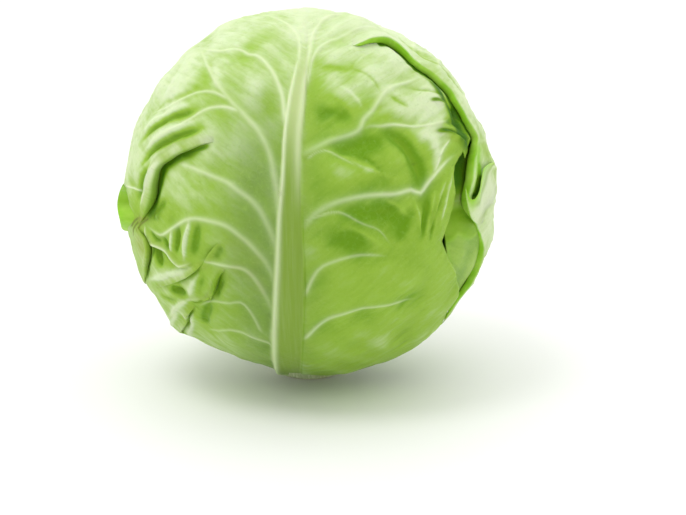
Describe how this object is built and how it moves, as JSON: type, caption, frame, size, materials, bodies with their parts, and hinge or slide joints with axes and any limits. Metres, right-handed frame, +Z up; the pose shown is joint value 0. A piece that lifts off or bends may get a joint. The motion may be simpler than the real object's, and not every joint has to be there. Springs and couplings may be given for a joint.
{
  "type": "cabbage head",
  "caption": "Whole round head of green cabbage with wrapper leaves and midribs, standing on its cut stem; for cooking, display or market scenes.",
  "frame": {"origin": "middle of the stem's cut face, the flat spot that the head rests on", "axes": "+Z up through the stem and the head; -Y to the front, where the outermost leaf's midrib is; +X to the right seen from the front"},
  "size_m": [0.1878, 0.1866, 0.1864],
  "materials": {
    "outer_leaf": "satin",
    "inner_leaf": "satin",
    "heart_leaf": "satin",
    "stem_flesh": "matte"
  },
  "bodies": {
    "root": {"stem": "stem_flesh", "heart": "heart_leaf", "front_leaf": "outer_leaf", "back_right_leaf": "outer_leaf", "left_leaf": "outer_leaf", "wrapper_leaf_4": "inner_leaf", "wrapper_leaf_5": "inner_leaf", "wrapper_leaf_6": "inner_leaf", "wrapper_leaf_7": "inner_leaf", "wrapper_leaf_8": "inner_leaf", "wrapper_leaf_9": "inner_leaf", "wrapper_leaf_10": "inner_leaf"}
  },
  "joints": []
}
